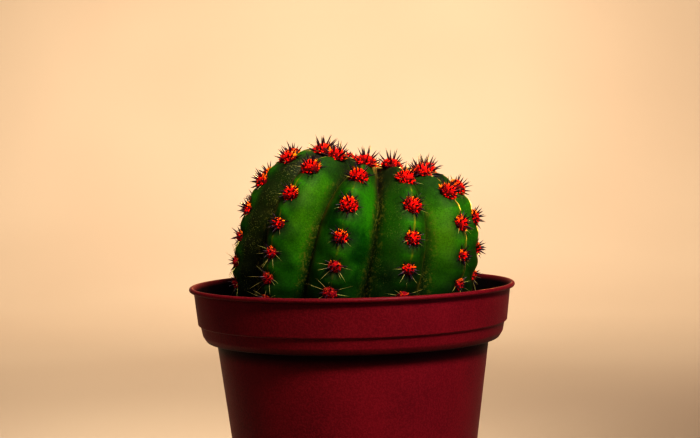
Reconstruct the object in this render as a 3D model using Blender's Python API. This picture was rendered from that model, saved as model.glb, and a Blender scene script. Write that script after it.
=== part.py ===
"""Round ribbed cactus growing in a tapered plastic nursery pot.

The origin is the centre of the pot's foot, +Z is up and the front of the plant faces -Y.
Lengths below are in millimetres and become metres when each mesh is written.
"""

import math

import bmesh
import bpy
import numpy as np
from mathutils import Matrix, Vector

MM = 0.001

# ---- Clearances ----------------------------------------------------------------------------
SOIL_GAP = 0.3
ROOT_GAP = 0.35
AREOLE_GAP = 0.3

# ---- Pot -----------------------------------------------------------------------------------
POT_HEIGHT = 70.0
LIP_RADIUS = 42.5
LIP_THICKNESS = 1.9
WALL = 0.9
LIP_OVERHANG = 1.2
COLLAR_TAPER = 0.95
STEP_WIDTH = 0.6
BAND_TAPER = 0.55
LEDGE_WIDTH = 3.6
COLLAR_STEP_DROP = 9.8
BAND_DROP = 12.6
LEDGE_DROP = 14.3
BODY_FOOT_RADIUS = 28.3
FOOT_RING_WIDTH = 1.7
FLOOR_HEIGHT = 2.4
FLOOR_THICKNESS = 1.2
DRAIN_HOLES = 6
DRAIN_HOLE_RADIUS = 2.6
DRAIN_CIRCLE_RADIUS = 16.0
FOOT_NOTCHES = 4
FOOT_NOTCH_WIDTH = 7.0
FOOT_NOTCH_HEIGHT = 1.1
POT_SEGMENTS = 64

# ---- Soil ----------------------------------------------------------------------------------
SOIL_DROP = 10.5
SOIL_UNEVENNESS = 0.45
SOIL_SEGMENTS = 48
SOIL_TOP_RINGS = 7

# ---- Stem ----------------------------------------------------------------------------------
RIBS = 11
STEM_ASIDE = 0.95
STEM_BACK = 0.3
STEM_RISE = 6.0
STEM_RADIUS = 31.9
STEM_TOP_HEIGHT = 29.8
STEM_LOW_HEIGHT = 27.0
STEM_SQUARENESS = 2.6
STEM_LOWEST_LATITUDE = -66.0
LEAN_RIGHT = math.radians(12.3)
LEAN_FRONT = math.radians(4.5)
FIRST_RIB_ANGLE = math.radians(-74.4)
RIB_WANDER = math.radians(1.8)
FURROW_DEPTH = 7.0
FURROW_START = 2.0
FURROW_FULL = 20.0
FURROW_FADE = 60.0
FURROW_END = 80.0
RIB_ROUNDNESS = 1.75
CROWN_DIP = 4.7
CROWN_DIP_RADIUS = 12.2
BACK_DROP = 4.5
BACK_DROP_START = 2.0
BACK_DROP_FULL = 12.0
BACK_DROP_FADE = 16.0
BACK_DROP_END = 40.0
NOTCH_DEPTH = 0.8
NOTCH_WIDTH = 0.42
ROOT_RADIUS = 5.5
ROOT_NECK = 5.0
ROOT_LENGTH = 20.0
ROOT_TIP_SHARE = 0.3
RIB_COLUMNS = (0.0, 0.4, 0.75)
ROWS_PER_AREOLE = 3

# ---- Areoles -------------------------------------------------------------------------------
AREOLES_PER_RIB = 5
FIRST_AREOLE = 14.5
AREOLE_PITCH = 10.3
AREOLE_PITCH_LOSS = 0.4
SHIFTED_RIB = 3
SHIFTED_RIB_SHIFT = -0.4
RIB_SHIFT_WANDER = 0.06
CUSHION_RADIUS_HIGH = 2.5
CUSHION_RADIUS_LOW = 1.65
CUSHION_RISE = 0.72
SHORT_SPINE = 2.0
LONG_SPINE = 4.3
SHORT_SPINE_LIFT = math.radians(34.0)
LONG_SPINE_LIFT = math.radians(20.0)
LOW_AREOLES_FROM = 26.0
LOW_AREOLES_TO = 50.0
SPINE_SHARE = 0.3
CROWN_WOOL_RADIUS = 3.4


# ---- Shared helpers ------------------------------------------------------------------------
def new_material(name, colour, roughness):
    """A non-metallic surface of one colour."""
    material = bpy.data.materials.new(name)
    material.use_nodes = True
    shader = material.node_tree.nodes["Principled BSDF"]
    shader.inputs["Base Color"].default_value = (*colour, 1.0)
    shader.inputs["Roughness"].default_value = roughness
    shader.inputs["Metallic"].default_value = 0.0
    material.diffuse_color = (*colour, 1.0)
    return material


def add_object(name, mesh_data, material=None, smooth=True):
    """Write a mesh in millimetres as a named object in metres."""
    bmesh.ops.scale(mesh_data, vec=(MM, MM, MM), verts=mesh_data.verts)
    bmesh.ops.recalc_face_normals(mesh_data, faces=mesh_data.faces)
    mesh = bpy.data.meshes.new(name)
    mesh_data.to_mesh(mesh)
    mesh_data.free()
    mesh.polygons.foreach_set("use_smooth", [smooth] * len(mesh.polygons))
    obj = bpy.data.objects.new(name, mesh)
    bpy.context.scene.collection.objects.link(obj)
    if material is not None:
        mesh.materials.append(material)
    return obj


def skin_rows(mesh_data, rows, first_pole, last_pole):
    """Join closed rows of vertices, from one pole to the other, into one closed skin."""
    count = len(rows[0])
    for i in range(count):
        j = (i + 1) % count
        mesh_data.faces.new((first_pole, rows[0][i], rows[0][j]))
        for near, far in zip(rows, rows[1:]):
            mesh_data.faces.new((near[i], far[i], far[j], near[j]))
        mesh_data.faces.new((last_pole, rows[-1][j], rows[-1][i]))


def turned(profile, segments, lift=None):
    """Turn (radius, height) points about Z. The first and last points lie on the axis."""
    mesh_data = bmesh.new()
    rows = []
    for radius, height in profile[1:-1]:
        row = []
        for i in range(segments):
            angle = 2.0 * math.pi * i / segments
            rise = lift(angle, radius, height) if lift else 0.0
            place = (radius * math.sin(angle), -radius * math.cos(angle), height + rise)
            row.append(mesh_data.verts.new(place))
        rows.append(row)
    first_pole = mesh_data.verts.new((0.0, 0.0, profile[0][1]))
    last_pole = mesh_data.verts.new((0.0, 0.0, profile[-1][1]))
    skin_rows(mesh_data, rows, first_pole, last_pole)
    return mesh_data


def cut(target, cutter):
    """Cut one solid out of another."""
    cutter.hide_render = True
    cutter.display_type = "WIRE"
    modifier = target.modifiers.new("cut_" + cutter.name, "BOOLEAN")
    modifier.operation = "DIFFERENCE"
    modifier.object = cutter


def smooth_step(low, high, value):
    """Rise smoothly from 0 at low to 1 at high."""
    share = min(max((value - low) / (high - low), 0.0), 1.0)
    return share * share * (3.0 - 2.0 * share)


# ---- Pot -----------------------------------------------------------------------------------
COLLAR_TOP_RADIUS = LIP_RADIUS - LIP_OVERHANG
COLLAR_STEP_RADIUS = COLLAR_TOP_RADIUS - COLLAR_TAPER
BAND_TOP_RADIUS = COLLAR_STEP_RADIUS - STEP_WIDTH
BAND_LOW_RADIUS = BAND_TOP_RADIUS - BAND_TAPER
BODY_TOP_RADIUS = BAND_LOW_RADIUS - LEDGE_WIDTH
LEDGE_HEIGHT = POT_HEIGHT - LEDGE_DROP
STEP_HEIGHT = POT_HEIGHT - COLLAR_STEP_DROP
FLOOR_TOP = FLOOR_HEIGHT + FLOOR_THICKNESS
SOIL_TOP = POT_HEIGHT - SOIL_DROP
STEM_CENTRE = (STEM_ASIDE, STEM_BACK, POT_HEIGHT + STEM_RISE)


def body_radius(height):
    """Outside radius of the tapered body at a height above the foot."""
    return BODY_FOOT_RADIUS + (BODY_TOP_RADIUS - BODY_FOOT_RADIUS) * height / LEDGE_HEIGHT


def pot_inside(gap=0.0):
    """Inside of the pot below the collar's step, as (radius, height), less a gap."""
    return [
        (BAND_TOP_RADIUS - WALL - gap, STEP_HEIGHT - 0.7 * WALL),
        (BAND_LOW_RADIUS - WALL - gap, POT_HEIGHT - BAND_DROP + 0.3 * WALL + gap),
        (BAND_LOW_RADIUS - 1.8 * WALL - gap, LEDGE_HEIGHT + WALL + gap),
        (BODY_TOP_RADIUS - WALL - gap, LEDGE_HEIGHT + WALL + gap),
        (body_radius(FLOOR_TOP + 2.0) - WALL - gap, FLOOR_TOP + 2.0),
        (body_radius(FLOOR_TOP) - 3.0 * WALL - gap, FLOOR_TOP + gap),
    ]


def pot_outside():
    """Underside of the floor, foot ring, body, stepped collar and rolled lip."""
    roll = 0.5 * LIP_THICKNESS
    profile = [
        (BODY_FOOT_RADIUS - FOOT_RING_WIDTH, FLOOR_HEIGHT),
        (BODY_FOOT_RADIUS - FOOT_RING_WIDTH, 0.0),
        (BODY_FOOT_RADIUS - 0.35, 0.0),
        (body_radius(0.4), 0.4),
        (body_radius(LEDGE_HEIGHT - 0.6), LEDGE_HEIGHT - 0.6),
        (BODY_TOP_RADIUS + 0.35, LEDGE_HEIGHT - 0.1),
        (BAND_LOW_RADIUS - 1.6, LEDGE_HEIGHT + 0.1),
        (BAND_LOW_RADIUS - 0.6, LEDGE_HEIGHT + 0.55),
        (BAND_LOW_RADIUS - 0.05, POT_HEIGHT - BAND_DROP),
        (BAND_TOP_RADIUS, STEP_HEIGHT - 0.15),
        (COLLAR_STEP_RADIUS - 0.1, STEP_HEIGHT),
        (COLLAR_STEP_RADIUS, STEP_HEIGHT + 0.25),
        (COLLAR_TOP_RADIUS, POT_HEIGHT - LIP_THICKNESS - 0.15),
    ]
    for step in range(7):
        angle = math.radians(-75.0 + 35.0 * step)
        radius = LIP_RADIUS - roll + roll * math.cos(angle)
        profile.append((radius, POT_HEIGHT - roll + roll * math.sin(angle)))
    profile.append((COLLAR_TOP_RADIUS - WALL, POT_HEIGHT - LIP_THICKNESS - 0.15))
    profile.append((COLLAR_STEP_RADIUS - WALL, STEP_HEIGHT + 0.4 * WALL))
    return profile


def build_pot(material):
    """Thin-walled pot with a rolled lip, a stepped collar and a drained floor."""
    profile = [(0.0, FLOOR_HEIGHT)] + pot_outside() + pot_inside() + [(0.0, FLOOR_TOP)]
    pot = add_object("pot", turned(profile, POT_SEGMENTS), material)
    for i in range(DRAIN_HOLES):
        hole = bmesh.new()
        bmesh.ops.create_cone(
            hole, cap_ends=True, segments=16, depth=4.0 * FLOOR_THICKNESS,
            radius1=DRAIN_HOLE_RADIUS, radius2=DRAIN_HOLE_RADIUS)
        shift = Vector((0.0, DRAIN_CIRCLE_RADIUS, FLOOR_HEIGHT + 0.5 * FLOOR_THICKNESS))
        turn = Matrix.Rotation(2.0 * math.pi * (i + 0.5) / DRAIN_HOLES, 4, "Z")
        hole.transform(turn @ Matrix.Translation(shift))
        cut(pot, add_object("drain_cutter_%d" % (i + 1), hole, smooth=False))
    for i in range(FOOT_NOTCHES):
        notch = bmesh.new()
        bmesh.ops.create_cube(notch, size=1.0)
        size = Matrix.Diagonal((FOOT_NOTCH_WIDTH, 4.0 * FOOT_RING_WIDTH, 2.0 * FOOT_NOTCH_HEIGHT, 1.0))
        shift = Vector((0.0, BODY_FOOT_RADIUS - 0.5 * FOOT_RING_WIDTH, 0.0))
        turn = Matrix.Rotation(2.0 * math.pi * (i + 0.5) / FOOT_NOTCHES, 4, "Z")
        notch.transform(turn @ Matrix.Translation(shift) @ size)
        cut(pot, add_object("notch_cutter_%d" % (i + 1), notch, smooth=False))
    return pot


# ---- Stem ----------------------------------------------------------------------------------
def crest_profile():
    """Way, radius, height and outward slope of a rib's crest, from the crown to the root's tip."""
    latitude = np.radians(np.linspace(90.0, STEM_LOWEST_LATITUDE, 1561))
    power = 2.0 / STEM_SQUARENESS
    radius = STEM_RADIUS * np.maximum(np.cos(latitude), 0.0) ** power
    height = np.sign(latitude) * np.abs(np.sin(latitude)) ** power
    height = height * np.where(latitude > 0.0, STEM_TOP_HEIGHT, STEM_LOW_HEIGHT)
    bend = np.linspace(0.0, 0.5 * math.pi, 60)[1:]
    neck_radius = radius[-1] - (radius[-1] - ROOT_RADIUS) * np.sin(bend)
    neck_height = height[-1] - ROOT_NECK * (1.0 - np.cos(bend))
    drop = np.linspace(0.0, 1.0, 60)[1:]
    root_radius = ROOT_RADIUS * (1.0 - (1.0 - ROOT_TIP_SHARE) * drop)
    root_height = neck_height[-1] - ROOT_LENGTH * drop
    radius = np.concatenate([radius, neck_radius, root_radius])
    height = np.concatenate([height, neck_height, root_height])
    way = np.concatenate([[0.0], np.cumsum(np.hypot(np.diff(radius), np.diff(height)))])
    out_radius = -np.gradient(height, way)
    out_height = np.gradient(radius, way)
    return way, radius, height, out_radius, out_height


CREST = crest_profile()
CREST_LENGTH = float(CREST[0][-1])


def rib_angle(rib):
    """Direction of a rib's crest about the stem's axis, from the front towards +X."""
    angle = FIRST_RIB_ANGLE + 2.0 * math.pi * rib / RIBS
    return angle + RIB_WANDER * math.sin(angle - math.radians(40.0))


def column_angle(rib, across):
    """Direction at a share of the way from a rib's crest (0) to the furrow beside it (-1 or 1)."""
    side = 1 if across > 0.0 else -1
    crest = rib_angle(rib)
    furrow = 0.5 * (crest + rib_angle(rib + side))
    return crest + abs(across) * (furrow - crest)


def rib_shift(rib):
    """How far a rib's areoles sit below the first row, as a share of their spacing."""
    if rib % RIBS == SHIFTED_RIB:
        return SHIFTED_RIB_SHIFT
    return RIB_SHIFT_WANDER * math.sin(2.3 * (rib % RIBS))


def areole_way(count):
    """Way along a crest to an areole. Areoles come closer together lower down."""
    return FIRST_AREOLE + AREOLE_PITCH * count - AREOLE_PITCH_LOSS * count * count


def areole_count(way):
    """The inverse of areole_way."""
    root = AREOLE_PITCH ** 2 - 4.0 * AREOLE_PITCH_LOSS * (way - FIRST_AREOLE)
    return (AREOLE_PITCH - math.sqrt(max(root, 0.0))) / (2.0 * AREOLE_PITCH_LOSS)


def lean(point):
    """Carry a point from the upright stem to the leaning one in the pot."""
    turn = Matrix.Rotation(LEAN_FRONT, 3, "X") @ Matrix.Rotation(LEAN_RIGHT, 3, "Y")
    return turn @ point + Vector(STEM_CENTRE)


def back_share(way):
    """How much of the lower tops of the rear ribs is felt at a way."""
    rise = smooth_step(BACK_DROP_START, BACK_DROP_FULL, way)
    return rise * (1.0 - smooth_step(BACK_DROP_FADE, BACK_DROP_END, way))


def stem_point(rib, across, way):
    """Point on the skin: ribs between furrows, notched at each areole, with a sunken crown."""
    table = CREST[0]
    radius = float(np.interp(way, table, CREST[1]))
    height = float(np.interp(way, table, CREST[2]))
    out_radius = float(np.interp(way, table, CREST[3]))
    out_height = float(np.interp(way, table, CREST[4]))
    strength = smooth_step(FURROW_START, FURROW_FULL, way) * (1.0 - smooth_step(FURROW_FADE, FURROW_END, way))
    beat = 0.5 + 0.5 * math.cos(2.0 * math.pi * (areole_count(way) - rib_shift(rib)))
    inward = FURROW_DEPTH * abs(across) ** RIB_ROUNDNESS
    inward += NOTCH_DEPTH * beat * math.exp(-((across / NOTCH_WIDTH) ** 2))
    radius -= inward * strength * out_radius
    height -= inward * strength * out_height
    angle = column_angle(rib, across)
    height -= CROWN_DIP * math.exp(-((way / CROWN_DIP_RADIUS) ** 2))
    height -= BACK_DROP * smooth_step(0.1, 1.0, -math.cos(angle)) * back_share(way)
    return lean(Vector((radius * math.sin(angle), -radius * math.cos(angle), height)))


def stem_ways():
    """Ways along the crest at which the skin gets a row of vertices."""
    ways = [2.5, 5.0]
    count = -1.0 + 1.0 / ROWS_PER_AREOLE
    while areole_way(count) < FURROW_FADE:
        ways.append(areole_way(count))
        count += 1.0 / ROWS_PER_AREOLE
    last = ways[-1]
    remaining = CREST_LENGTH - last
    ways += [last + remaining * share for share in (0.08, 0.17, 0.27, 0.36, 0.43, 0.5, 0.65, 0.82, 1.0)]
    return ways


def stem_mesh():
    """The whole plant body in millimetres, closed at the crown and at the root's tip."""
    mesh_data = bmesh.new()
    rows = []
    for way in stem_ways():
        row = []
        for rib in range(RIBS):
            for across in [-1.0] + [-share for share in reversed(RIB_COLUMNS[1:])] + list(RIB_COLUMNS):
                row.append(mesh_data.verts.new(stem_point(rib, across, way)))
        rows.append(row)
    crown = mesh_data.verts.new(lean(Vector((0.0, 0.0, STEM_TOP_HEIGHT - CROWN_DIP))))
    tip = mesh_data.verts.new(lean(Vector((0.0, 0.0, CREST[2][-1]))))
    skin_rows(mesh_data, rows, crown, tip)
    bmesh.ops.triangulate(mesh_data, faces=mesh_data.faces, quad_method="FIXED")
    bmesh.ops.recalc_face_normals(mesh_data, faces=mesh_data.faces)
    return mesh_data


def build_stem(material):
    """Ribbed globe with its short tap root."""
    return add_object("cactus_stem", stem_mesh(), material)


# ---- Soil ----------------------------------------------------------------------------------
def soil_lift(angle, radius, height):
    """Gentle hollows and rises of the loose surface."""
    if height < SOIL_TOP - 0.01:
        return 0.0
    wave = math.sin(3.0 * angle + 0.21 * radius) + 0.7 * math.sin(5.0 * angle - 0.33 * radius + 1.3)
    return SOIL_UNEVENNESS * wave


def edge_below(edge, height):
    """The part of a falling edge at and below a height."""
    for i, (high, low) in enumerate(zip(edge, edge[1:])):
        if high[1] > height >= low[1]:
            share = (high[1] - height) / (high[1] - low[1])
            return [(high[0] + (low[0] - high[0]) * share, height)] + edge[i + 1:]
    return edge


def grow(mesh_data, gap):
    """Move every face outward by a gap."""
    mesh_data.normal_update()
    for vert in mesh_data.verts:
        vert.co += vert.normal * gap * vert.calc_shell_factor()


def buried_hollows():
    """A rounded hollow around each areole that reaches down to the soil."""
    reach = SOIL_TOP + 2.0 * SOIL_UNEVENNESS
    for rib in range(RIBS):
        for number in range(AREOLES_PER_RIB):
            areole = areole_mesh(rib, number)
            if min(vert.co.z for vert in areole.verts) < reach:
                hull = bmesh.ops.convex_hull(areole, input=areole.verts)
                loose = {item for item in hull["geom_interior"] if isinstance(item, bmesh.types.BMVert)}
                bmesh.ops.delete(areole, geom=list(loose), context="VERTS")
                grow(areole, AREOLE_GAP)
                yield areole
            else:
                areole.free()


def build_soil(material):
    """Potting mix filling the pot below the collar's step, with a pocket for the plant."""
    skirt = edge_below(pot_inside(SOIL_GAP), SOIL_TOP - 2.5 * SOIL_UNEVENNESS)
    profile = [(0.0, SOIL_TOP)]
    for ring in range(1, SOIL_TOP_RINGS + 1):
        profile.append(((skirt[0][0] - 0.2) * ring / SOIL_TOP_RINGS, SOIL_TOP))
    profile += skirt + [(0.0, FLOOR_TOP + SOIL_GAP)]
    soil = add_object("soil", turned(profile, SOIL_SEGMENTS, soil_lift), material)
    pocket = stem_mesh()
    grow(pocket, ROOT_GAP)
    cut(soil, add_object("pocket_cutter", pocket))
    for i, hollow in enumerate(buried_hollows()):
        cut(soil, add_object("hollow_cutter_%d" % (i + 1), hollow))
    return soil


# ---- Areoles -------------------------------------------------------------------------------
def spike(mesh_data, corners, tip):
    """Draw a slim spine out of a face, leaving a border of the face around its root."""
    middle = sum((corner.co for corner in corners), Vector()) / len(corners)
    inner = [mesh_data.verts.new(middle.lerp(corner.co, SPINE_SHARE)) for corner in corners]
    point = mesh_data.verts.new(tip)
    for i, corner in enumerate(corners):
        j = (i + 1) % len(corners)
        mesh_data.faces.new((corner, corners[j], inner[j], inner[i]))
        mesh_data.faces.new((inner[i], inner[j], point))


def spiny_cushion(radius, sides, side_spines, top_spines):
    """A six- or more-sided wool cushion on its base, +Z outward, with spines drawn from it.

    side_spines maps a side's number to (azimuth, lift, length) and top_spines to (lean, length).
    """
    mesh_data = bmesh.new()
    base = []
    shoulder = []
    for i in range(sides):
        angle = 2.0 * math.pi * i / sides
        across = Vector((math.cos(angle), math.sin(angle), 0.0))
        base.append(mesh_data.verts.new(across * radius * 0.86))
        lift = Vector((0.0, 0.0, 0.42 * radius * CUSHION_RISE))
        shoulder.append(mesh_data.verts.new(across * radius + lift))
    peak = mesh_data.verts.new((0.0, 0.0, radius * CUSHION_RISE))
    mesh_data.faces.new(list(reversed(base)))
    for i in range(sides):
        j = (i + 1) % sides
        if i in side_spines:
            azimuth, rise, length = side_spines[i]
            root = 0.25 * (base[i].co + base[j].co + shoulder[i].co + shoulder[j].co)
            flat = Vector((math.cos(azimuth), math.sin(azimuth), 0.0)) * math.cos(rise)
            tip = root + (flat + Vector((0.0, 0.0, math.sin(rise)))) * length
            spike(mesh_data, [base[i], base[j], shoulder[j], shoulder[i]], tip)
        else:
            mesh_data.faces.new((base[i], base[j], shoulder[j], shoulder[i]))
        if i in top_spines:
            slope, length = top_spines[i]
            azimuth = 2.0 * math.pi * (i + 0.5) / sides
            root = (shoulder[i].co + shoulder[j].co + peak.co) / 3.0
            flat = Vector((math.cos(azimuth), math.sin(azimuth), 0.0)) * math.sin(slope)
            tip = root + (flat + Vector((0.0, 0.0, math.cos(slope)))) * length
            spike(mesh_data, [shoulder[i], shoulder[j], peak], tip)
        else:
            mesh_data.faces.new((shoulder[i], shoulder[j], peak))
    return mesh_data


def skin_frame(rib, way):
    """Place on a rib's crest: the point, and its upward, sideways and outward directions."""
    point = stem_point(rib, 0.0, way)
    upward = (stem_point(rib, 0.0, way - 0.5) - stem_point(rib, 0.0, way + 0.5)).normalized()
    aside = (stem_point(rib, 0.1, way) - stem_point(rib, -0.1, way)).normalized()
    outward = aside.cross(upward)
    outward.normalize()
    if outward.dot(point - Vector(STEM_CENTRE)) < 0.0:
        outward.negate()
    aside = upward.cross(outward).normalized()
    return point, upward, aside, outward


def seat_height(rib, way, frame, radius):
    """Highest point of the skin under a cushion, measured outward from its middle."""
    point, _, _, outward = frame
    highest = 0.0
    for step in (-1.0, -0.5, 0.5, 1.0):
        for across in (-0.3, 0.0, 0.3):
            skin = stem_point(rib, across, way + step * radius)
            highest = max(highest, (skin - point).dot(outward))
    return highest


def stand_on_skin(mesh_data, frame, lift):
    """Move a cushion from its own axes to its place on the skin: local +X points up the rib."""
    point, upward, aside, outward = frame
    place = Matrix((upward, aside, outward)).transposed().to_4x4()
    place.translation = point + outward * lift
    mesh_data.transform(place)


def areole_mesh(rib, number):
    """One wool cushion with its spines in millimetres, standing on the crest of a rib."""
    way = areole_way(number + rib_shift(rib))
    low = smooth_step(LOW_AREOLES_FROM, LOW_AREOLES_TO, way)
    radius = CUSHION_RADIUS_HIGH + (CUSHION_RADIUS_LOW - CUSHION_RADIUS_HIGH) * low
    length = SHORT_SPINE + (LONG_SPINE - SHORT_SPINE) * low
    rise = SHORT_SPINE_LIFT + (LONG_SPINE_LIFT - SHORT_SPINE_LIFT) * low
    azimuths = (52.0, 90.0, 140.0, 220.0, 270.0, 308.0)
    side_spines = {i: (math.radians(azimuth), rise, length) for i, azimuth in enumerate(azimuths)}
    top_spines = {1: (math.radians(35.0), SHORT_SPINE), 4: (math.radians(35.0), SHORT_SPINE)}
    frame = skin_frame(rib, way)
    lift = AREOLE_GAP + seat_height(rib, way, frame, radius)
    mesh_data = spiny_cushion(radius, len(azimuths), side_spines, top_spines)
    stand_on_skin(mesh_data, frame, lift)
    return mesh_data


def build_crown_wool(material):
    """Young wool and spines packed in the sunken crown."""
    sides = 10
    side_spines = {}
    for i in range(sides):
        azimuth = 2.0 * math.pi * (i + 0.5) / sides
        side_spines[i] = (azimuth, math.radians(58.0), 0.9 * SHORT_SPINE)
    top_spines = {i: (math.radians(18.0), SHORT_SPINE) for i in range(0, sides, 2)}
    mesh_data = spiny_cushion(CROWN_WOOL_RADIUS, sides, side_spines, top_spines)
    point = lean(Vector((0.0, 0.0, STEM_TOP_HEIGHT - CROWN_DIP)))
    outward = (lean(Vector((0.0, 0.0, 1.0))) - lean(Vector())).normalized()
    upward = (lean(Vector((1.0, 0.0, 0.0))) - lean(Vector())).normalized()
    frame = (point, upward, outward.cross(upward).normalized(), outward)
    rim = max((stem_point(rib, 0.0, CROWN_WOOL_RADIUS) - point).dot(outward) for rib in range(RIBS))
    stand_on_skin(mesh_data, frame, AREOLE_GAP + rim)
    return add_object("crown_wool", mesh_data, material)


# ---- Assembly ------------------------------------------------------------------------------
def build():
    """Make the potted cactus."""
    for old in list(bpy.data.objects):
        bpy.data.objects.remove(old, do_unlink=True)
    plastic = new_material("terracotta_plastic", (0.2, 0.012, 0.014), 0.42)
    peat = new_material("peat", (0.03, 0.02, 0.014), 0.95)
    skin = new_material("green_skin", (0.02, 0.12, 0.008), 0.5)
    wool = new_material("red_wool", (0.8, 0.02, 0.006), 0.85)
    build_pot(plastic)
    build_soil(peat)
    build_stem(skin)
    for rib in range(RIBS):
        for number in range(AREOLES_PER_RIB):
            add_object("areole_r%02d_%d" % (rib + 1, number + 1), areole_mesh(rib, number), wool)
    build_crown_wool(wool)


build()
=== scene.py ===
"""Looks of the round ribbed cactus in its nursery pot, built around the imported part.

Lengths are in millimetres until a mesh is written, which turns them into metres.
"""

import math

import bmesh
import bpy
import numpy as np
from mathutils import Euler, Matrix, Vector


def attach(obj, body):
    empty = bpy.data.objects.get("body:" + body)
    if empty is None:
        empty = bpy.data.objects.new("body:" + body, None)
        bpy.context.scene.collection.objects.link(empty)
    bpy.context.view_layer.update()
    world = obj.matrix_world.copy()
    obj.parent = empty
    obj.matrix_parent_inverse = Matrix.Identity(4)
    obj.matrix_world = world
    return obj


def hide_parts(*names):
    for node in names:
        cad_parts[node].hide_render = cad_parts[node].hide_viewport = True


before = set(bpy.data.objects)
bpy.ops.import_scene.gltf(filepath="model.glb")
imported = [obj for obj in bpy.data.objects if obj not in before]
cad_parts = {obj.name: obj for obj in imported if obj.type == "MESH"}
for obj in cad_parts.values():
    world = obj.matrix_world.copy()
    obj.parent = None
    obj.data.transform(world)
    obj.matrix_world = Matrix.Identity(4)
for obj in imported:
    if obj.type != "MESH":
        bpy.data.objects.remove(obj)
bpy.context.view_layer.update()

MM = 0.001
FULL_TURN = 2.0 * math.pi
SEED = 20261119

# ---- Pot, as in the part, but with a thinner lip -------------------------------------------
POT_HEIGHT = 70.0
LIP_RADIUS = 42.5
LIP_THICKNESS = 1.2
WALL = 0.9
COLLAR_TOP_RADIUS = 41.3
COLLAR_STEP_RADIUS = 40.35
STEP_HEIGHT = POT_HEIGHT - 9.8
BAND_TOP_RADIUS = 39.75
BAND_LOW_RADIUS = 39.2
BAND_HEIGHT = POT_HEIGHT - 12.6
LEDGE_HEIGHT = POT_HEIGHT - 14.3
BODY_TOP_RADIUS = 35.6
BODY_FOOT_RADIUS = 28.3
FOOT_RING_WIDTH = 1.7
FLOOR_HEIGHT = 2.4
FLOOR_TOP = FLOOR_HEIGHT + 1.2
DRAIN_HOLES = 6
DRAIN_HOLE_RADIUS = 2.6
DRAIN_CIRCLE_RADIUS = 16.0
FOOT_NOTCHES = 4
FOOT_NOTCH_WIDTH = 7.0
FOOT_NOTCH_HEIGHT = 1.1
POT_SEGMENTS = 288
POT_OUT_OF_ROUND = 0.0011
OUTSIDE_CORNER = 0.32
INSIDE_CORNER = 0.3
LIP_STEPS = 18
# Painted shadow under the ledge fades out below it; the extra rows of points let it.
PAINTED_SHADOW_DROP = 4.5
PAINTED_SHADOW_FULL_DROP = 0.8
PAINTED_LEDGE_SHADOW = 0.92
PAINTED_SHADOW_ROWS = (5.0, 4.0, 3.0, 2.0, 1.2)
WELD = 0.004
SHARP_ANGLE = math.radians(38.0)

# ---- Soil ----------------------------------------------------------------------------------
SOIL_TOP = POT_HEIGHT - 10.5
SOIL_RADIUS = 38.45
SOIL_DEPTH = 2.6
SOIL_RINGS = 70
SOIL_SIDES = 220
GRAIN_REACH = 37.6

# ---- Stem, as in the part ------------------------------------------------------------------
RIBS = 11
STEM_CENTRE = np.array((0.95, 0.3, POT_HEIGHT + 6.0))
STEM_RADIUS = 31.9
STEM_TOP_HEIGHT = 29.8
STEM_LOW_HEIGHT = 27.0
STEM_SQUARENESS = 2.6
STEM_LOWEST_LATITUDE = -66.0
LEAN_RIGHT = math.radians(12.3)
LEAN_FRONT = math.radians(4.5)
FIRST_RIB_ANGLE = math.radians(-74.4)
RIB_WANDER = math.radians(1.8)
FURROW_DEPTH = 7.0
RIB_ROUNDNESS = 1.75
CROWN_DIP = 4.7
CROWN_DIP_RADIUS = 12.2
BACK_DROP = 4.5
NOTCH_DEPTH = 0.8
NOTCH_WIDTH = 0.42
FIRST_AREOLE = 14.5
AREOLE_PITCH = 10.3
AREOLE_PITCH_LOSS = 0.4
SHIFTED_RIB = 3
SHIFTED_RIB_SHIFT = -0.4
RIB_SHIFT_WANDER = 0.06
AREOLES_PER_RIB = 5
LOW_AREOLES = 2
COLUMNS_PER_RIB = 28
# Painted shade below each areole: how far below it lies, how far it reaches, how much less it
# reaches lower down and how wide it is across the rib; then painted shade over the crown.
AREOLE_SHADOW_SINK = 1.0
AREOLE_SHADOW_REACH = 5.2
AREOLE_SHADOW_REACH_LOSS = 1.6
AREOLE_SHADOW_RIB_WIDTH = 9.0
CROWN_SHADE = 0.85
# Painted light on the flanks: where its belt lies along the crest and how wide the belt is.
LIT_BELT = 36.0
LIT_BELT_WIDTH = 13.0
# Flanks of each rib: above 0 darker olive, partly dust and partly painted shade; below 0 painted
# light, a lit yellow-green.
LEFT_FLANKS = (1.0, 1.0, 0.25, 0.55, -1.0, 0.3, 0.7, -0.4, 0.8, -0.6, 0.8)
RIGHT_FLANKS = (1.0, -1.0, -0.1, 0.45, 0.4, 0.6, -0.5, 0.6, 0.5, -0.8, 0.7)
STEM_ROWS = 250
STEM_LAST_WAY = 84.0
ROOT_RADIUS = 5.5
ROOT_BEND_DEPTH = 5.0

# ---- Areoles -------------------------------------------------------------------------------
YOUNG_CUSHION_RADIUS = 2.4
OLD_CUSHION_RADIUS = 1.6
CUSHION_SINK = 0.35
# Each bundle: how many fibres, their length and thickness, and how late they narrow.
WOOL_BUNDLES = ((105, 0.72, 0.19, 4.0), (110, 0.95, 0.055, 1.2))
DARK_SPINES_YOUNG = 19
DARK_SPINES_OLD = 7
DARK_SPINE_THICKNESS = 0.32
PALE_SPINES_YOUNG = 2
PALE_SPINES_OLD = 9
PALE_SPINE_THICKNESS = 0.095
PALE_FAN = 126.0
GOLDEN_TURN = 0.381966
LOWEST_AREOLE = SOIL_TOP + 2.2
CROWN_TUFT_SIZE = 0.42
CROWN_CENTRE_SIZE = 0.62


# ---- Small maths ---------------------------------------------------------------------------
def smooth_step(low, high, value):
    """Rise smoothly from 0 at low to 1 at high."""
    share = np.clip((np.asarray(value, float) - low) / (high - low), 0.0, 1.0)
    return share * share * (3.0 - 2.0 * share)


def unit(vectors):
    """Each row at length 1."""
    vectors = np.asarray(vectors, float)
    return vectors / np.maximum(np.linalg.norm(vectors, axis=-1, keepdims=True), 1e-12)


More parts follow.
